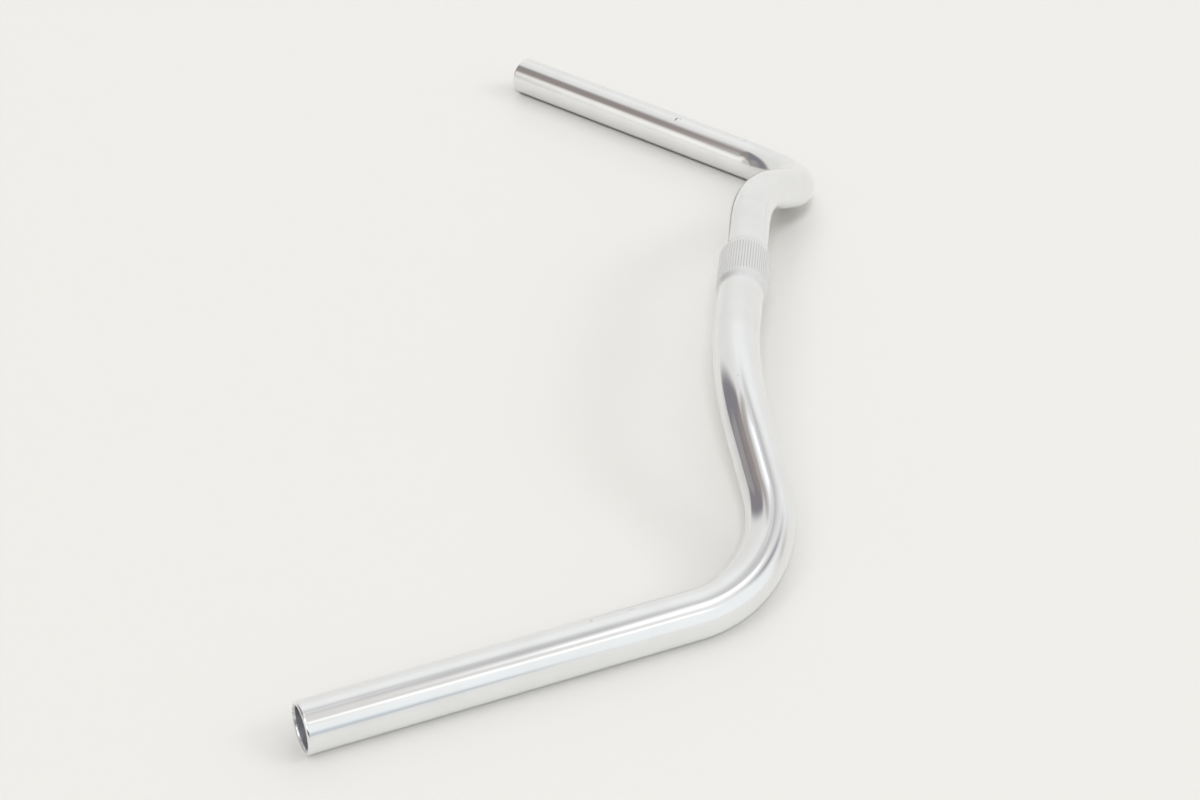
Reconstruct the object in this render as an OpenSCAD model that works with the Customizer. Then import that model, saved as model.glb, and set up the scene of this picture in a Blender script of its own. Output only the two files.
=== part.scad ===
// Swept-back city bicycle handlebar, drawn as one bent tube.
//
// The real bar is one length of aluminium tube. Its middle is swelled to the clamp diameter and
// knurled there, then each side is bent twice: a wide bend down and forward at the shoulder, and
// a tight bend back at the knee. The source follows the same order. The driving sizes are the
// corner points of the tube's centre line, because those can be read off a finished bar. Short
// functions turn the corners into what a tube bender is given for each bend: how far to feed,
// how far to roll the tube about its own axis, and how far to bend.
//
// Frame, in millimetres: the origin is the middle of the clamp zone, +X runs across the bar to
// the right-hand grip, +Y points forward and away from the grips, and +Z is up when the bar lies
// on its two grips, as it does in the photograph.

/* [Clamp zone] */
// Outside diameter of the swelled middle that the stem grips
clamp_d = 25.4; // [24:0.1:26]
// Length of the swelled middle at its full diameter
clamp_len = 27; // [24:0.5:50]
// Length over which the swell runs out to the plain tube, each side
taper_len = 6.5; // [5:0.5:12]
// Plain ring left between the knurl and each end of the swelled middle
knurl_margin = 0.5; // [0.5:0.5:6]
// Number of knurl grooves round the tube
knurl_count = 56; // [40:1:64]
// Depth of each knurl groove
knurl_depth = 0.18; // [0.1:0.01:0.22]

/* [Tube] */
// Outside diameter of the plain tube, the size grips and levers are made for
tube_d = 22.2; // [22:0.1:23.8]
// Wall thickness, the same all along the tube
wall = 2.2; // [1.6:0.1:2.8]
// Width of the bevel round the outside edge of each open end
end_bevel = 0.6; // [0.3:0.1:0.9]

/* [Centre line] */
// Distance between the two open ends, across the bar
tip_span = 602; // [560:1:660]
// Distance between the corners of the two knee bends
knee_span = 368; // [352:1:400]
// Distance between the corners of the two shoulder bends
shoulder_span = 172; // [160:1:190]
// Height of the clamp zone above the grips
rise = 45; // [30:1:60]
// How far the knee corners stand in front of the clamp zone
reach = 35.5; // [20:0.5:50]
// How far the open ends lie behind the clamp zone
setback = 154.5; // [120:0.5:190]

/* [Bends] */
// Centre-line radius of the wide shoulder bend
shoulder_bend_r = 135; // [90:1:145]
// Centre-line radius of the tight knee bend
knee_bend_r = 58.5; // [50:0.5:64]

/* [Hidden] */
$fn = 96;

// Straight tube the bender needs to hold between two bends.
min_straight = 3;
// Steps in the smooth run-out of the swell.
taper_steps = 8;
// A cutter stands this far out past the face it opens.
overshoot = 1;
// Where a straight meets a bend their walls are tangent, and two walls that only touch end to end
// can't be relied on to join. So each straight laps over the bends beside it by a short length,
// and each bend is drawn slimmer by a hair, which keeps its end inside the lap at every radius.
lap = 0.2;
hair = 0.002;
// The bevel inside each mouth is half as wide as the one outside.
mouth_bevel = end_bevel / 2;

tube_r = tube_d / 2;
clamp_r = clamp_d / 2;
bore_r = tube_r - wall;
knurl_len = clamp_len - 2 * knurl_margin;
swell_half = clamp_len / 2 + taper_len;

// Corner points of the right-hand half of the centre line.
shoulder = [shoulder_span / 2, 0, 0];
knee = [knee_span / 2, reach, -rise];
tip = [tip_span / 2, -setback, -rise];

function unit(v) = v / norm(v);
function turn_angle(a, b) = acos(a * b);
// The side to which heading a must turn to become heading b.
function turn_side(a, b) = unit(b - (a * b) * a);
// Straight length that a bend of radius r and angle t takes from each side of its corner.
function setback_of(r, t) = r * tan(t / 2);
// Largest bend that still leaves the given straight beside its corner.
function fitting_r(r, t, straight) = min(r, straight / tan(t / 2));

heading_mid = [1, 0, 0];
heading_leg = unit(knee - shoulder);
heading_grip = unit(tip - knee);
leg_len = norm(knee - shoulder);
grip_len = norm(tip - knee);

shoulder_angle = turn_angle(heading_mid, heading_leg);
shoulder_side = turn_side(heading_mid, heading_leg);
shoulder_axis = cross(heading_mid, shoulder_side);
shoulder_r = fitting_r(shoulder_bend_r, shoulder_angle, shoulder.x - swell_half - min_straight);
shoulder_cut = setback_of(shoulder_r, shoulder_angle);

knee_angle = turn_angle(heading_leg, heading_grip);
knee_side = turn_side(heading_leg, heading_grip);
knee_r = fitting_r(knee_bend_r, knee_angle, leg_len - shoulder_cut - min_straight);
knee_cut = setback_of(knee_r, knee_angle);

// Side that points inward of the shoulder bend once the tube has turned through it.
side_after_shoulder = cross(shoulder_axis, heading_leg);

// Roll of the tube before each bend, about its own heading.
shoulder_roll = atan2(shoulder_side.z, shoulder_side.y);
knee_roll = atan2(knee_side * shoulder_axis, knee_side * side_after_shoulder);

// Straight tube fed before, between and after the bends.
mid_half = shoulder.x - shoulder_cut;
leg_straight = leg_len - shoulder_cut - knee_cut;
grip_straight = grip_len - knee_cut;

// Round bar of radius r from the origin along +X.
module rod(r, length) {
    rotate([0, 90, 0])
        cylinder(r = r, h = length);
}

// Cone along +X from radius r_from at the origin to radius r_to.
module cone(r_from, r_to, length) {
    rotate([0, 90, 0])
        cylinder(r1 = r_from, r2 = r_to, h = length);
}

// Bent round bar: starts at the origin heading +X and turns toward +Y.
module elbow(r, bend_r, angle) {
    translate([0, bend_r, 0])
        rotate([0, 0, -90])
            rotate_extrude(angle = angle)
                translate([bend_r, 0])
                    circle(r = r - hair);
}

// Round bar between two elbows, lapping over the end of each.
module straight(r, length) {
    translate([-lap, 0, 0])
        rod(r, length + 2 * lap);
}

// Place what follows at the far end of an elbow, heading +X again.
module past_elbow(bend_r, angle) {
    translate([bend_r * sin(angle), bend_r * (1 - cos(angle)), 0])
        rotate([0, 0, angle])
            children();
}

// One side of the tube beyond the clamp straight: bend, feed, roll, bend. The end of the grip is
// left to the caller, because it is bevelled outside and flared inside.
module half_run(r) {
    translate([mid_half, 0, 0])
        rotate([shoulder_roll, 0, 0]) {
            elbow(r, shoulder_r, shoulder_angle);
            past_elbow(shoulder_r, shoulder_angle) {
                straight(r, leg_straight);
                translate([leg_straight, 0, 0])
                    rotate([knee_roll, 0, 0]) {
                        elbow(r, knee_r, knee_angle);
                        past_elbow(knee_r, knee_angle)
                            children();
                    }
            }
        }
}

// Both sides, the left one the mirror of the right.
module both_sides() {
    children();
    mirror([1, 0, 0])
        children();
}

// Radius of the swelled middle at the share t of its run-out, eased at both ends.
function swell_r(t, inset) = tube_r + (clamp_r - tube_r) * (1 + cos(180 * t)) / 2 - inset;

// Outline of half the middle: full swell, eased run-out, plain tube, back along the axis.
function middle_outline(inset) = concat(
    [[0, 0], [clamp_r - inset, 0]],
    [for (i = [0 : taper_steps])
        [swell_r(i / taper_steps, inset), clamp_len / 2 + taper_len * i / taper_steps]],
    [[tube_r - inset, mid_half + lap], [0, mid_half + lap]]
);

// The straight middle between the shoulder bends, drawn in by the given inset.
module middle(inset) {
    both_sides()
        rotate([0, 90, 0])
            rotate_extrude()
                polygon(middle_outline(inset));
}

// Axial grooves cut into the swelled middle, so that its lands keep the clamp diameter.
module knurl_grooves() {
    groove_side = knurl_depth * sqrt(2);
    for (i = [0 : knurl_count - 1])
        rotate([i * 360 / knurl_count, 0, 0])
            translate([0, 0, clamp_r])
                rotate([45, 0, 0])
                    cube([knurl_len, groove_side, groove_side], center = true);
}

// The tube as if it were solid.
module outside() {
    middle(0);
    both_sides()
        half_run(tube_r) {
            straight(tube_r, grip_straight - end_bevel - lap);
            translate([grip_straight - end_bevel, 0, 0])
                cone(tube_r, tube_r - end_bevel, end_bevel);
        }
}

// The bore, which follows every bend and swells with the wall.
module inside() {
    middle(wall);
    both_sides()
        half_run(bore_r) {
            straight(bore_r, grip_straight + overshoot);
            translate([grip_straight - mouth_bevel, 0, 0])
                cone(bore_r, bore_r + mouth_bevel + overshoot, mouth_bevel + overshoot);
        }
}

module handlebar() {
    color([0.78, 0.79, 0.80])
        difference() {
            outside();
            inside();
            knurl_grooves();
        }
}

handlebar();
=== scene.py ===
# %% [markdown]
# A swept-back bicycle handlebar, lying on a pale table.
#
# The real bar is a single aluminium tube. Its middle is swelled to fit the stem and knurled there,
# each side is bent twice, and both ends are open. It was polished and then clear anodised, so
# nearly all we see of it is the room that it mirrors. The lesson has three parts: draw the tube
# with the same operations that a tube bender uses, give it a polished skin with fine wear, and
# light it so that its mirror has something to show.

# %% Load the fixed frame
import bpy
import bmesh
from math import acos, atan2, ceil, cos, degrees, pi, radians, sin, tan
from mathutils import Matrix, Vector


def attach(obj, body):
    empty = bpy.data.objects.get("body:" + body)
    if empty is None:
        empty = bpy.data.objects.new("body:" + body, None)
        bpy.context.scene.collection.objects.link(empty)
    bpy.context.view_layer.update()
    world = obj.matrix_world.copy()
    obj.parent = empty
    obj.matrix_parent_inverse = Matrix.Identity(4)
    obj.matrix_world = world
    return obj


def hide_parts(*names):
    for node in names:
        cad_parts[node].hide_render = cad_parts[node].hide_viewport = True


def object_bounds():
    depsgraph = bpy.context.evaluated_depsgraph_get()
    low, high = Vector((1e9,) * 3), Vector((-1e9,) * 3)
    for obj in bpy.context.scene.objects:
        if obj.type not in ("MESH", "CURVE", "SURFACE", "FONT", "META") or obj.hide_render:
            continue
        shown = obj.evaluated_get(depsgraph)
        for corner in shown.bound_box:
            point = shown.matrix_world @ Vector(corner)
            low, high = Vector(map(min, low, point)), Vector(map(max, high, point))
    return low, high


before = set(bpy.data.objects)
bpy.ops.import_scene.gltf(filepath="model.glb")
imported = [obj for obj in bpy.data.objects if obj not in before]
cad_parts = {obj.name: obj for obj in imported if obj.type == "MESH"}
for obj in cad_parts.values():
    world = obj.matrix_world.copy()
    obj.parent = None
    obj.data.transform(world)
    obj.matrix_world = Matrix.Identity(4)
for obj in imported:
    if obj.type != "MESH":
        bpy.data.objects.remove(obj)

cad_low, cad_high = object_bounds()
print("CAD box:", [round(v, 4) for v in cad_low], [round(v, 4) for v in cad_high])

# %% [markdown]
# The sizes are the ones the solid model uses, in metres here. The bar's shape is given by the
# corner points of the tube's centre line: shoulder, knee and tip. Each corner is rounded by a
# bend of known radius. Corners are easy to measure on a finished bar, and a bend follows from
# them by plain geometry.

# %% Sizes of the bar
MM = 0.001

CLAMP_R = 12.7 * MM
TUBE_R = 11.1 * MM
WALL = 2.2 * MM
CLAMP_HALF = 13.5 * MM
TAPER_LEN = 6.5 * MM
KNURL_HALF = 13 * MM
END_ROUND = 1.1 * MM
MOUTH_FLARE = 0.95 * MM

SHOULDER = Vector((86, 0, 0)) * MM
KNEE = Vector((184, 35.5, -45)) * MM
TIP = Vector((301, -154.5, -45)) * MM
SHOULDER_BEND_R = 135 * MM
KNEE_BEND_R = 58.5 * MM
print("tube:", round(2 * TUBE_R / MM, 1), "mm, clamp zone:", round(2 * CLAMP_R / MM, 1), "mm")

# %% Work out both bends from the corners


class Bend:
    """A rounded corner of the centre line: where it starts and ends, and what it turns about."""

    def __init__(self, before, corner, after, radius):
        heading = (corner - before).normalized()
        leaving = (after - corner).normalized()
        self.radius = radius
        self.angle = acos(heading.dot(leaving))
        self.cut = radius * tan(self.angle / 2)
        self.start = corner - heading * self.cut
        self.end = corner + leaving * self.cut
        inward = (leaving - heading * heading.dot(leaving)).normalized()
        self.centre = self.start + inward * radius
        self.axis = heading.cross(inward)


shoulder_bend = Bend(Vector(), SHOULDER, KNEE, SHOULDER_BEND_R)
knee_bend = Bend(SHOULDER, KNEE, TIP, KNEE_BEND_R)
for name, bend in (("shoulder", shoulder_bend), ("knee", knee_bend)):
    print(name, "bend:", round(degrees(bend.angle), 1), "degrees")

# %% [markdown]
# A tube bender does two things to a tube: it feeds it forward, and it bends it round a die.
# Blender has the same two moves for a ring of edges. Extruding the ring and moving the new edges
# is a feed. Spinning the ring about the die's axis is a bend. So the mesh is drawn in the order
# in which the real tube is made, and every wall stays exactly round.
#
# Each vertex also remembers where it lay in the straight tube, before any bending. The finish
# uses that later: drawing lines run along the unbent tube, and then follow every bend.
#
# A mirror shows the slightest tilt of a surface. Where a straight meets a bend or an edge, the
# smooth shading there would spread along the next face, however long it is. So every straight is
# fed in several steps, and the first and the last are short.

# %% Feed and bend a ring of edges
KNURL_TEETH = 56
POINTS_PER_TOOTH = 4
RING_POINTS = KNURL_TEETH * POINTS_PER_TOOTH
LONGEST_STEP = 12 * MM
END_STEP = 1.5 * MM
print("points round the tube:", RING_POINTS)


def verts_of(edges):
    return list({v for e in edges for v in e.verts})


def start_ring(bm, unbent, radius):
    """A ring round the X axis, at the middle of the bar."""
    turn = Matrix.Rotation(pi / 2, 4, "Y")
    made = bmesh.ops.create_circle(bm, radius=radius, segments=RING_POINTS, matrix=turn)
    for v in made["verts"]:
        v[unbent] = v.co
    return list({e for v in made["verts"] for e in v.link_edges})


def feed(bm, unbent, ring, step):
    """Push the tube forward along a straight step."""
    made = bmesh.ops.extrude_edge_only(bm, edges=ring)["geom"]
    verts = [g for g in made if isinstance(g, bmesh.types.BMVert)]
    bmesh.ops.translate(bm, vec=step, verts=verts)
    for v in verts:
        v[unbent] = v[unbent] + Vector((step.length, 0, 0))
    return [g for g in made if isinstance(g, bmesh.types.BMEdge)]


def feed_in_steps(bm, unbent, ring, run):
    """Push the tube along a long straight, in steps with one short step at each end."""
    inner = run.length - 2 * END_STEP
    count = ceil(inner / LONGEST_STEP)
    for length in [END_STEP] + [inner / count] * count + [END_STEP]:
        ring = feed(bm, unbent, ring, run.normalized() * length)
    return ring


def bend_round(bm, unbent, ring, bend, steps):
    """Spin the ring round the die's axis, as the bender's arm does."""
    known = set(bm.verts)
    from_start = bend.start - bend.centre
    made = bmesh.ops.spin(
        bm, geom=verts_of(ring) + ring, cent=bend.centre, axis=bend.axis,
        angle=bend.angle, steps=steps, use_duplicate=False,
    )
    for v in set(bm.verts) - known:
        out = v.co - bend.centre
        across = bend.axis.cross(from_start)
        turned = atan2(out.dot(across), out.dot(from_start))
        v[unbent] = v[unbent] + Vector((bend.radius * turned, 0, 0))
    return [g for g in made["geom_last"] if isinstance(g, bmesh.types.BMEdge)]


# %% [markdown]
# The middle of the tube is swelled. On the real bar a rubber or oil plug presses the wall outward
# into a mould, so the swell runs out in a soft slope with no edge. Here each new ring is scaled to
# its radius, and a cosine gives the slope.

# %% Draw one skin of half the tube
TAPER_STEPS = 10
KNURL_FADE = 0.35 * MM
DEGREES_PER_STEP = 2.0


def swell_radius(x):
    """Outside radius of the straight middle at the distance x from the centre."""
    t = min(max((x - CLAMP_HALF) / TAPER_LEN, 0), 1)
    return TUBE_R + (CLAMP_R - TUBE_R) * (1 + cos(pi * t)) / 2


def middle_stations():
    """Distances from the centre at which the middle needs a ring."""
    taper = [CLAMP_HALF + TAPER_LEN * i / TAPER_STEPS for i in range(TAPER_STEPS + 1)]
    plain = [taper[-1] + END_STEP, shoulder_bend.start.x - END_STEP, shoulder_bend.start.x]
    return [KNURL_HALF - KNURL_FADE, KNURL_HALF] + taper + plain


def swell_ring(bm, unbent, ring, radius):
    """Scale a ring of the straight middle to the given radius."""
    verts = verts_of(ring)
    now = Vector((0, verts[0].co.y, verts[0].co.z)).length
    bmesh.ops.scale(bm, vec=(1, radius / now, radius / now), verts=verts)
    for v in verts:
        v[unbent] = v.co


def half_skin(bm, unbent, inset, degrees_per_step):
    """Half the tube's wall surface, moved in by the inset. Returns its last ring."""
    ring = start_ring(bm, unbent, CLAMP_R - inset)
    reached = 0.0
    for x in middle_stations():
        ring = feed(bm, unbent, ring, Vector((x - reached, 0, 0)))
        swell_ring(bm, unbent, ring, swell_radius(x) - inset)
        reached = x
    steps = ceil(degrees(shoulder_bend.angle) / degrees_per_step)
    ring = bend_round(bm, unbent, ring, shoulder_bend, steps)
    ring = feed_in_steps(bm, unbent, ring, knee_bend.start - shoulder_bend.end)
    steps = ceil(degrees(knee_bend.angle) / degrees_per_step)
    ring = bend_round(bm, unbent, ring, knee_bend, steps)
    return feed_in_steps(bm, unbent, ring, TIP - knee_bend.end)


POLISHED, RAW_BORE, SAWN = range(3)
BORE_DEGREES_PER_STEP = 6.0

bm = bmesh.new()
unbent = bm.verts.layers.float_vector.new("unbent")
outer_end = half_skin(bm, unbent, 0.0, DEGREES_PER_STEP)
outer_verts = set(bm.verts)
outer_faces = set(bm.faces)
inner_end = half_skin(bm, unbent, WALL, BORE_DEGREES_PER_STEP)
for face in set(bm.faces) - outer_faces:
    face.material_index = RAW_BORE
end_middle = sum((v.co for v in verts_of(outer_end)), Vector()) / RING_POINTS
print("tip lands", round((end_middle - TIP).length / MM, 4), "mm from its corner")

# %% [markdown]
# The knurl is a band of fine grooves along the tube, which bite into the stem's clamp so that the
# bar can't turn in it. It is rolled into the surface after the swell is formed. There are four
# ring points to each tooth, so sinking every fourth point makes one V groove per tooth, and the
# other three stay at the clamp's full diameter. The roll also catches the start of the slope on
# each side, so the grooves get shallower there and fade out.

# %% Roll the knurl
KNURL_DEPTH = 0.2 * MM


def tooth_point(v):
    """Which point of its tooth this vertex is, counted round the middle."""
    turn = atan2(v.co.z, v.co.y) / (2 * pi)
    return round(turn * RING_POINTS) % POINTS_PER_TOOTH


def groove_depth(x):
    """Full depth on the knurled band, then less and less down the slope."""
    t = min(max((x - KNURL_HALF) / TAPER_LEN, 0), 1)
    return KNURL_DEPTH * (1 - t)


grooved = [v for v in outer_verts if v.co.x < KNURL_HALF + TAPER_LEN and tooth_point(v) == 0]
for v in grooved:
    radius = Vector((0, v.co.y, v.co.z)).length
    sunk = 1 - groove_depth(v.co.x) / radius
    v.co *= Vector((1, sunk, sunk))
    v[unbent] = v.co
print("knurl:", sum(1 for v in grooved if v.co.x == 0), "grooves")

# %% [markdown]
# Each open end was sawn off square. Its outer corner was then rounded and polished with the rest,
# and its inner one was cut back with a reamer. The outer ring is extruded in place and shrunk to
# the bore, which makes the sawn face, and is then welded to the bore's own ring. Bevels on both
# edges of that face give the rounding, which catches two bright spots in the photograph, and the
# pale flare inside the mouth.

# %% Close the open end and break its edges
WELD = 0.005 * MM
ROUND_SEGMENTS = 6
FLARE_SEGMENTS = 2


def sawn_face(bm, unbent, ring, bore_ring):
    """Fill from the outer ring in to the bore. Returns the new faces."""
    known = set(bm.faces)
    made = bmesh.ops.extrude_edge_only(bm, edges=ring)["geom"]
    verts = [g for g in made if isinstance(g, bmesh.types.BMVert)]
    shrink = (TUBE_R - WALL) / TUBE_R
    bmesh.ops.scale(bm, vec=(shrink,) * 3, space=Matrix.Translation(-TIP), verts=verts)
    for v in verts:
        v[unbent] = v[unbent] * Vector((1, shrink, shrink))
    faces = set(bm.faces) - known
    bmesh.ops.remove_doubles(bm, verts=verts + verts_of(bore_ring), dist=WELD)
    return [f for f in faces if f.is_valid]


def edges_between(bm, one, other):
    """Edges where a face of one material meets a face of the other."""
    pair = {one, other}
    return [e for e in bm.edges if {f.material_index for f in e.link_faces} == pair]


for face in sawn_face(bm, unbent, outer_end, inner_end):
    face.material_index = SAWN
bmesh.ops.recalc_face_normals(bm, faces=bm.faces)
bmesh.ops.bevel(
    bm, geom=edges_between(bm, POLISHED, SAWN), offset=END_ROUND, offset_type="OFFSET",
    segments=ROUND_SEGMENTS, profile=0.5, affect="EDGES", material=POLISHED,
)
bmesh.ops.bevel(
    bm, geom=edges_between(bm, RAW_BORE, SAWN), offset=MOUTH_FLARE, offset_type="OFFSET",
    segments=FLARE_SEGMENTS, profile=0.5, affect="EDGES", material=SAWN,
)
print("sawn face and flare:", sum(1 for f in bm.faces if f.material_index == SAWN), "faces")

# %% Mirror the half and make the object
SHARP_DEGREES = 25
MERGE = 0.001 * MM

whole = bm.verts[:] + bm.edges[:] + bm.faces[:]
bmesh.ops.mirror(bm, geom=whole, matrix=Matrix.Identity(4), merge_dist=MERGE, axis="X")
for v in bm.verts:
    if v.co.x < 0:
        v[unbent] = v[unbent] * Vector((-1, 1, 1))
bmesh.ops.recalc_face_normals(bm, faces=bm.faces)

open_edges = sum(1 for e in bm.edges if len(e.link_faces) != 2)
print("open edges:", open_edges, " volume:", round(bm.calc_volume() * 1e6, 1), "cm3")

for face in bm.faces:
    face.smooth = True
mesh = bpy.data.meshes.new("bent_tube")
bm.to_mesh(mesh)
bm.free()
mesh.set_sharp_from_angle(angle=radians(SHARP_DEGREES))
tube = bpy.data.objects.new("bent_tube", mesh)
bpy.context.scene.collection.objects.link(tube)
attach(tube, "root")
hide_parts("handlebar")
print("faces:", len(mesh.polygons))

# %% [markdown]
# A shader is mostly arithmetic, and arithmetic reads best as expressions. The small class below
# wraps a node's output, so that a + b or 1 - a adds the right node by itself.

# %% Write shader maths as Python


class Net:
    """One node tree, with a single call that adds any node to it."""

    def __init__(self, tree):
        self.tree = tree
        tree.nodes.clear()

    def add(self, kind, settings=None, inputs=None, output=0):
        """Make a node, set it up, feed its sockets, and return one of its outputs."""
        node = self.tree.nodes.new(kind)
        for key, value in (settings or {}).items():
            setattr(node, key, value)
        for key, value in (inputs or {}).items():
            socket = socket_of(node.inputs, key)
            if isinstance(value, Value):
                self.tree.links.new(value.socket, socket)
            else:
                socket.default_value = value
        return Value(self, socket_of(node.outputs, output)) if node.outputs else None


def socket_of(sockets, key):
    """A socket by number, by identifier, or by name. On a Mix node several share a name."""
    if isinstance(key, int):
        return sockets[key]
    exact = [s for s in sockets if s.identifier == key]
    return exact[0] if exact else sockets[key]


class Value:
    """A node's output, usable in ordinary arithmetic."""

    def __init__(self, net, socket):
        self.net = net
        self.socket = socket

    def math(self, operation, *others):
        inputs = dict(enumerate((self,) + others))
        return self.net.add("ShaderNodeMath", {"operation": operation}, inputs)

    def __add__(self, other):
        return self.math("ADD", other)

    __radd__ = __add__

    def __mul__(self, other):
        return self.math("MULTIPLY", other)

    __rmul__ = __mul__

    def __sub__(self, other):
        return self.math("SUBTRACT", other)

    def __rsub__(self, other):
        return self * -1 + other

    def step(self, low, high):
        """0 below low, 1 above high, and a soft slope between."""
        settings = {"interpolation_type": "SMOOTHSTEP"}
        inputs = {"Value": self, "From Min": low, "From Max": high}
        return self.net.add("ShaderNodeMapRange", settings, inputs)


def parts(net, vector):
    """The X, Y and Z of a vector."""
    first = net.add("ShaderNodeSeparateXYZ", {}, {0: vector})
    return [Value(net, s) for s in first.socket.node.outputs]


def stretched(net, vector, scale):
    """A vector with each of its parts multiplied by its own factor."""
    settings = {"operation": "MULTIPLY"}
    return net.add("ShaderNodeVectorMath", settings, {0: vector, 1: scale})


def noise(net, vector, scale, detail=2.0, roughness=0.5):
    """Soft random clouds between 0 and 1. A bigger scale makes them smaller."""
    inputs = {"Vector": vector, "Scale": scale, "Detail": detail, "Roughness": roughness}
    return net.add("ShaderNodeTexNoise", {}, inputs)


def mix_colour(net, amount, low, high):
    """Colour low where the amount is 0 and high where it is 1."""
    inputs = {"Factor_Float": amount, "A_Color": low, "B_Color": high}
    return net.add("ShaderNodeMix", {"data_type": "RGBA"}, inputs, "Result_Color")


def new_material(name):
    """A material with an empty node tree, and the net that fills it."""
    material = bpy.data.materials.new(name)
    material.use_nodes = True
    return material, Net(material.node_tree)


def straight_place(net):
    """Where each point of the skin lay in the straight tube."""
    return net.add("ShaderNodeAttribute", {"attribute_name": "unbent"}, {}, "Vector")


def cover(net, inputs):
    """End a material's net with its main shader and the output."""
    skin = net.add("ShaderNodeBsdfPrincipled", {}, inputs)
    net.add("ShaderNodeOutputMaterial", {}, {"Surface": skin})


# %% [markdown]
# Polished and clear-anodised aluminium is a metal with a slightly soft mirror. Three things keep
# it from looking like chrome: a milky oxide layer that lifts the roughness a little, faint lines
# along the tube from drawing and polishing, and a few small marks where it was knocked. The
# lines use the unbent coordinates, so they follow the bends. So do the marks: each is given by
# its distance along the tube from the middle, to the right or to the left, and by how far it is
# turned from the top.

# %% The marks seen in the photograph


class Mark:
    """A scuff on the tube, as an oval with soft edges."""

    def __init__(self, along, turn, length, breadth, darkness):
        side = 1 if along > 0 else -1
        around = radians(turn) * -side
        self.place = Vector((along * MM, sin(around) * TUBE_R, cos(around) * TUBE_R))
        self.size = Vector((length, breadth, breadth)) * MM / 2
        self.darkness = darkness


MARKS = [
    Mark(-282, -29, 2.2, 5.0, 0.8),
    Mark(-280, -22, 2.4, 1.6, 0.45),
    Mark(-234, -6, 3.6, 5.5, 0.16),
    Mark(-63, -30, 3.0, 1.6, 0.22),
    Mark(95, 12, 1.2, 1.2, 0.30),
    Mark(259.5, 27, 6.0, 2.2, 0.16),
    Mark(278, 27, 2.6, 2.2, 0.28),
]
MARK_RAGGEDNESS = 0.5
MARK_EDGE = (0.4, 1.2)
print("marks:", len(MARKS))


def scuffed(net, straight, grain):
    """How dark the marks make the skin: 0 on clean metal."""
    shade = 0.0
    for mark in MARKS:
        away = net.add("ShaderNodeVectorMath", {"operation": "SUBTRACT"},
                       {0: straight, 1: mark.place})
        away = stretched(net, away, [1 / v for v in mark.size])
        reach = net.add("ShaderNodeVectorMath", {"operation": "LENGTH"}, {0: away}, "Value")
        covered = 1 - (reach + grain * MARK_RAGGEDNESS).step(*MARK_EDGE)
        shade = covered * mark.darkness + shade
    return shade


# %% Polished aluminium
ALUMINIUM = (0.865, 0.87, 0.875, 1.0)
OXIDE = (0.84, 0.845, 0.845, 1.0)
# Dark colour for the marks, also used as painted shade in the knurl's grooves.
DIRT_AND_PAINTED_SHADE = (0.20, 0.19, 0.18, 1.0)
DRAWN_LINES = (6.0, 900.0, 900.0)
CLOUD_SCALE = 60.0
GRAIN_SCALE = 1800.0
OXIDE_PATCHES = (0.35, 0.7)
BASE_ROUGHNESS = 0.09
LINE_ROUGHNESS = 0.04
CLOUD_ROUGHNESS = 0.03
DARK_ROUGHNESS = 0.2
BAND_ROUGHNESS = 0.3
BAND_DIRT = 0.05
BAND_EDGE = (KNURL_HALF + TAPER_LEN * 0.95, KNURL_HALF + TAPER_LEN * 1.2)
GROOVE_PAINTED_SHADE = 0.3
WAVE_STRENGTH = 0.04
WAVE_HEIGHT = 0.2 * MM


def polished_aluminium():
    """The clear outside: drawn lines, oxide clouds, a dulled knurl band with painted shade in its
    grooves, and the marks.
    """
    material, net = new_material("polished_aluminium")
    straight = straight_place(net)
    lines = noise(net, stretched(net, straight, DRAWN_LINES), 1.0, 3.0, 0.6)
    clouds = noise(net, straight, CLOUD_SCALE, 3.0)
    grain = noise(net, straight, GRAIN_SCALE, 2.0)
    x, y, z = parts(net, straight)
    radius = (y * y + z * z).math("SQRT")
    away = x.math("ABSOLUTE")
    in_band = 1 - away.step(KNURL_HALF - KNURL_FADE, KNURL_HALF + KNURL_FADE)
    groove = (1 - radius.step(CLAMP_R - KNURL_DEPTH, CLAMP_R)) * in_band
    dulled = 1 - away.step(*BAND_EDGE)
    tint = mix_colour(net, clouds.step(*OXIDE_PATCHES), ALUMINIUM, OXIDE)
    # Painted shade: the knurl's grooves are darkened in the colour. The dulled band and the marks
    # darken it as the metal's own tone and wear.
    dark = groove * GROOVE_PAINTED_SHADE + dulled * BAND_DIRT + scuffed(net, straight, grain)
    tint = mix_colour(net, dark, tint, DIRT_AND_PAINTED_SHADE)
    roughness = BASE_ROUGHNESS + lines * LINE_ROUGHNESS + clouds * CLOUD_ROUGHNESS
    roughness = roughness + dulled * BAND_ROUGHNESS + dark * DARK_ROUGHNESS
    waves = net.add("ShaderNodeBump", {}, {
        "Strength": WAVE_STRENGTH, "Distance": WAVE_HEIGHT, "Height": lines * 0.6 + clouds * 0.4,
    })
    cover(net, {"Base Color": tint, "Metallic": 1.0, "Roughness": roughness, "Normal": waves})
    return material


# %% [markdown]
# Polish only reaches the outside. The bore keeps the dull grey skin of the mill, and its colour is
# darkened well below bare metal, in patches, as painted shade for the dim inside of the tube. The
# sawn ends show the fine arcs that the saw left.

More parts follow.
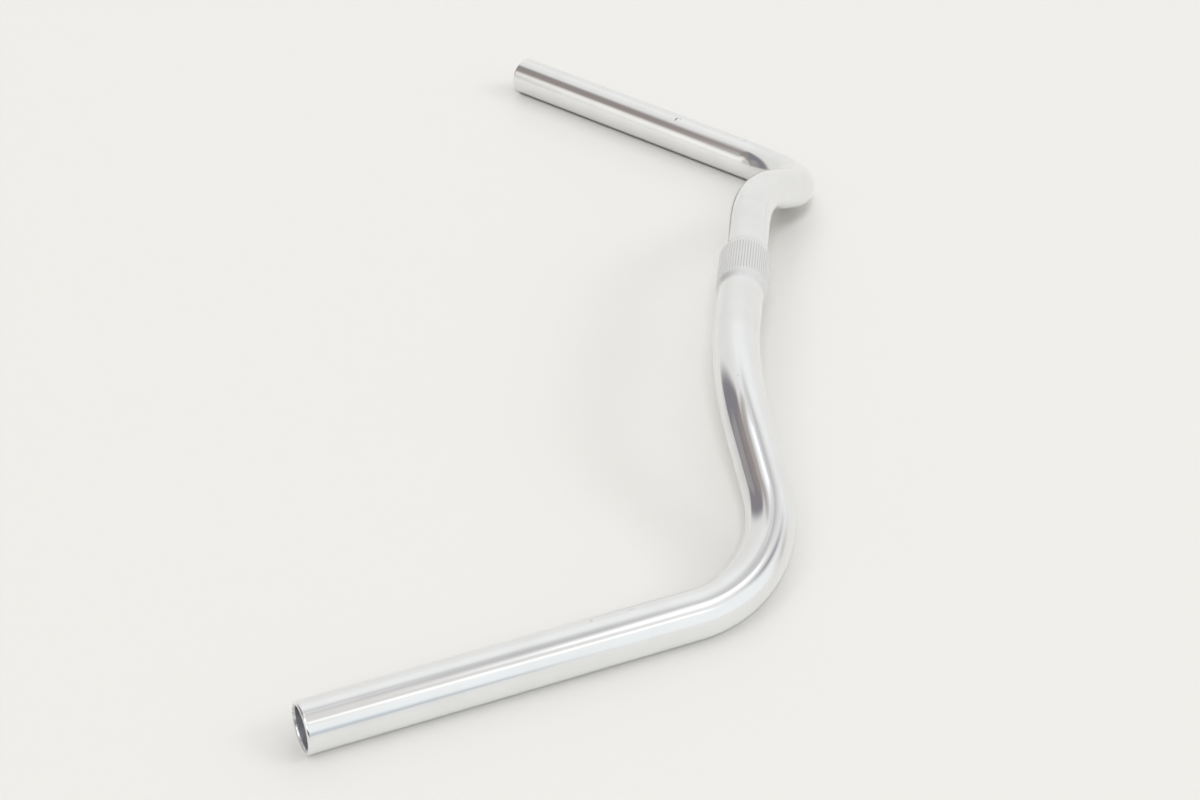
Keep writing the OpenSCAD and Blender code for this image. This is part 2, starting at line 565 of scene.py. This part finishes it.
# %% Raw bore and sawn ends
# Painted shade: both bore colours are much darker than bare metal, for the dim inside of the tube.
MILL_GREY_WITH_PAINTED_SHADE = (0.26, 0.26, 0.28, 1.0)
BORE_PATCH_PAINTED_SHADE = (0.12, 0.115, 0.11, 1.0)
SAWN_METAL = (0.80, 0.80, 0.80, 1.0)
SAW_SHADOW = (0.55, 0.55, 0.55, 1.0)
BORE_PATCH_SCALE = 120.0
BORE_PATCH_EDGES = (0.4, 0.65)
BORE_METALLIC = 0.6
BORE_ROUGHNESS = 0.5
BORE_PATCH_ROUGHNESS = 0.2
SAW_ARCS = (1.0, 1.0, 2500.0)
SAW_EDGE = (0.3, 0.7)
SAW_STRENGTH = 0.3
SAW_DEPTH = 0.05 * MM
SAWN_ROUGHNESS = 0.22
ARC_ROUGHNESS = 0.1


def raw_bore():
    """The inside: grey metal, darkened in patches as painted shade."""
    material, net = new_material("raw_bore")
    bore_patches = noise(net, straight_place(net), BORE_PATCH_SCALE, 4.0, 0.6)
    tint = mix_colour(net, bore_patches.step(*BORE_PATCH_EDGES), MILL_GREY_WITH_PAINTED_SHADE, BORE_PATCH_PAINTED_SHADE)
    roughness = BORE_ROUGHNESS + bore_patches * BORE_PATCH_ROUGHNESS
    cover(net, {"Base Color": tint, "Metallic": BORE_METALLIC, "Roughness": roughness})
    return material


def sawn_aluminium():
    """The cut ends: bright metal with fine arcs."""
    material, net = new_material("sawn_aluminium")
    arcs = noise(net, stretched(net, straight_place(net), SAW_ARCS), 1.0, 2.0)
    tint = mix_colour(net, arcs.step(*SAW_EDGE), SAWN_METAL, SAW_SHADOW)
    scored = net.add("ShaderNodeBump", {}, {
        "Strength": SAW_STRENGTH, "Distance": SAW_DEPTH, "Height": arcs,
    })
    roughness = SAWN_ROUGHNESS + arcs * ARC_ROUGHNESS
    cover(net, {"Base Color": tint, "Metallic": 1.0, "Roughness": roughness, "Normal": scored})
    return material


for finish in (polished_aluminium(), raw_bore(), sawn_aluminium()):
    tube.data.materials.append(finish)
    print("finish:", finish.name)

# %% [markdown]
# The table is a plain pale surface. It fills the picture and is also mirrored in the underside
# of the bar, so it has to be wide.

# %% Floor
FLOOR_HALF = 6.0
TABLE_PAINT = (0.515, 0.498, 0.463, 1.0)
TABLE_ROUGHNESS = 0.35


def pale_floor():
    bm = bmesh.new()
    bmesh.ops.create_grid(bm, x_segments=1, y_segments=1, size=FLOOR_HALF)
    bmesh.ops.translate(bm, vec=(0, 0, cad_low.z), verts=bm.verts)
    mesh = bpy.data.meshes.new("floor")
    bm.to_mesh(mesh)
    bm.free()
    material, net = new_material("pale_floor")
    cover(net, {"Base Color": TABLE_PAINT, "Roughness": TABLE_ROUGHNESS})
    mesh.materials.append(material)
    floor = bpy.data.objects.new("floor", mesh)
    bpy.context.scene.collection.objects.link(floor)
    print("floor:", 2 * FLOOR_HALF, "m wide")


pale_floor()

# %% [markdown]
# A polished thing shows its surroundings, so a studio for it is built of panels: bright ones for
# highlights and dark ones to draw its form. Here the panels are painted into the world as soft
# slanted rectangles. Each is given by the compass angle and the height of its middle, its width
# and height, how far it leans and how soft its edges are. All but the lean are in degrees. That
# keeps the view clear of real screens from every side. Most rows began as a fit to the brightness
# along the bar in the photograph. They were then rounded, and seven were clearly changed and a few
# more slightly. The lamp line and the three rim panels are given one by one, outside the fit. The
# rim panels are for the rounding of the near end, which mirrors another part of the room.

# %% Studio panels in the world
SKY = (0.89, 0.885, 0.87, 1.0)


class Panel:
    """A painted rectangle: its middle, size and soft edge in degrees, its lean and its light."""

    def __init__(self, name, middle, size, lean, soft, colour):
        self.name = name
        self.middle = middle
        self.size = size
        self.lean = lean
        self.soft = soft
        self.colour = (*colour, 1.0)


PANELS = [
    Panel("side wall", (-122, 36), (44, 96), 0.6, 30, (0.83, 0.82, 0.8)),
    Panel("window", (68, 19), (98, 50), 0.25, 9, (0.98, 1, 1)),
    Panel("flag", (-98, 22), (42, 66), 0.15, 12, (0.25, 0.24, 0.26)),
    Panel("flag wing", (-79, 38), (23, 33), -0.8, 8, (0.32, 0.28, 0.265)),
    Panel("flag middle", (-92, 13), (16, 26), 0, 8, (0.37, 0.345, 0.34)),
    Panel("far window", (-65, 19), (12, 24), -0.5, 14, (1.04, 1.02, 0.98)),
    Panel("window light", (57, 48), (12, 20), -0.7, 4, (1.25, 1.25, 1.22)),
    Panel("shelf", (68, 65), (26, 17), 0, 12, (0.78, 0.76, 0.73)),
    Panel("lamp", (98, 63), (32, 11), 1.7, 6, (2, 2, 2.05)),
    Panel("ceiling", (143, 70), (92, 13), -0.4, 36, (0.42, 0.41, 0.43)),
    Panel("ceiling end", (78, 74), (52, 16), -0.25, 2, (0.8, 0.77, 0.75)),
    Panel("post", (101, 42), (22, 11), -0.35, 20, (0.22, 0.21, 0.24)),
    Panel("post foot", (108, 12), (4, 28), 0.15, 28, (0.37, 0.32, 0.28)),
    Panel("skylight", (-140, 94), (200, 18), 0, 1, (1.62, 1.74, 1.95)),
    Panel("near horizon", (36, 4), (28, 13), -0.2, 3, (0.6, 0.64, 0.67)),
    Panel("near haze", (34, 10), (17, 16), 0.9, 12, (0.63, 0.7, 0.76)),
    Panel("flag top", (-77, 59), (49, 31), -3, 20, (0.44, 0.4, 0.39)),
    Panel("window foot", (46, 24), (14, 16), 0, 1, (0.96, 0.99, 1.0)),
    Panel("window bar", (61, 57), (4, 18), -0.4, 1, (0.72, 0.72, 0.71)),
    Panel("lamp side", (87, 61), (29, 14), 0, 10, (1.12, 1.12, 1.14)),
    Panel("lamp line", (84, 62), (14, 5), 0.6, 3, (1.7, 1.7, 1.72)),
    Panel("ceiling gap", (158, 76), (25, 8), -2.5, 16, (0.85, 0.84, 0.86)),
    Panel("west wall", (165, 50), (78, 28), 0.2, 24, (0.96, 0.97, 0.96)),
    Panel("west skylight", (-108, 84), (42, 11), 0.3, 5, (1.15, 1.16, 1.19)),
    Panel("far post", (-73, 7), (12, 21), -0.15, 2, (0.61, 0.61, 0.6)),
    Panel("rim light high", (-30, 54), (28, 18), 0, 5, (4.0, 4.0, 4.1)),
    Panel("rim light low", (-12, 34), (22, 12), 0, 5, (3.6, 3.6, 3.6)),
    Panel("rim shade", (-6, 9), (54, 20), 0, 6, (0.05, 0.05, 0.06)),
]


def fades_at(away, half, soft):
    """1 in the middle, 0 past the half width, with a soft edge."""
    return 1 - away.math("ABSOLUTE").step(half - soft / 2, half + soft / 2)


def studio_world():
    world = bpy.data.worlds.new("studio")
    world.use_nodes = True
    net = Net(world.node_tree)
    direction = net.add("ShaderNodeTexCoord", {}, {}, "Generated")
    x, y, z = parts(net, direction)
    around = y.math("ARCTAN2", x) * degrees(1)
    up = z.math("ARCSINE") * degrees(1)
    light = SKY
    for panel in PANELS:
        across = (around - panel.middle[0]).math("WRAP", 180.0, -180.0)
        rise = up - panel.middle[1]
        here = fades_at(across - rise * panel.lean, panel.size[0] / 2, panel.soft)
        here = fades_at(rise, panel.size[1] / 2, panel.soft) * here
        light = mix_colour(net, here, light, panel.colour)
    glow = net.add("ShaderNodeBackground", {}, {"Color": light, "Strength": 1.0})
    net.add("ShaderNodeOutputWorld", {}, {"Surface": glow})
    bpy.context.scene.world = world
    print("studio panels:", ", ".join(panel.name for panel in PANELS))


studio_world()

# %% [markdown]
# The painted panels light the table from all sides, which alone would give a wide, heavy shadow.
# Three lamps lighten it: one above the camera, whose shadow hides behind the bar, a very wide one
# overhead, which darkens the table just where the grips touch it, and a faint one at the side.
# None is seen in the metal, where it would add a highlight of its own. They are a little cooler
# than the room, which leaves the shadows warm.

# %% Lamps for the table
COOL_DAYLIGHT = (0.95, 1.0, 1.08)


def lamp(name, around, up, spread, strength):
    """A wide, distant lamp: its compass angle, its height and its spread are in degrees."""
    data = bpy.data.lights.new(name, "SUN")
    data.energy = strength
    data.angle = radians(spread)
    data.color = COOL_DAYLIGHT
    made = bpy.data.objects.new(name, data)
    turn = Matrix.Rotation(radians(around), 4, "Z") @ Matrix.Rotation(radians(90 - up), 4, "Y")
    made.matrix_world = turn
    made.visible_glossy = False
    bpy.context.scene.collection.objects.link(made)
    print(name, "strength:", strength)


lamp("front_lamp", around=1, up=43, spread=10, strength=2.2)
lamp("top_lamp", around=0, up=80, spread=60, strength=0.7)
lamp("side_lamp", around=90, up=40, spread=22, strength=0.6)

# %% [markdown]
# The camera's place and aim come from fitting a camera and the bar's centre line together to the
# outline in the photograph.

# %% Camera
CAMERA_PLACE = Vector((0.8564, 0.0111, 0.5093))
CAMERA_FORWARD = Vector((-0.81968, -0.07680, -0.56765))
CAMERA_DOWN = Vector((0.56119, 0.09102, -0.82266))
SENSOR_MM = 36.0
IMAGE_WIDTH = 1200
FOCAL_PIXELS = 1988.9
NEAR_LIMIT = 0.01


def photo_camera():
    data = bpy.data.cameras.new("camera")
    data.sensor_width = SENSOR_MM
    data.lens = FOCAL_PIXELS * SENSOR_MM / IMAGE_WIDTH
    data.clip_start = NEAR_LIMIT
    camera = bpy.data.objects.new("camera", data)
    up = -CAMERA_DOWN
    back = -CAMERA_FORWARD
    right = up.cross(back)
    turn = Matrix((right, up, back)).transposed()
    camera.matrix_world = Matrix.Translation(CAMERA_PLACE) @ turn.to_4x4()
    bpy.context.scene.collection.objects.link(camera)
    bpy.context.scene.camera = camera
    print("lens:", round(data.lens, 1), "mm")


photo_camera()
bpy.context.scene.view_settings.view_transform = "Standard"
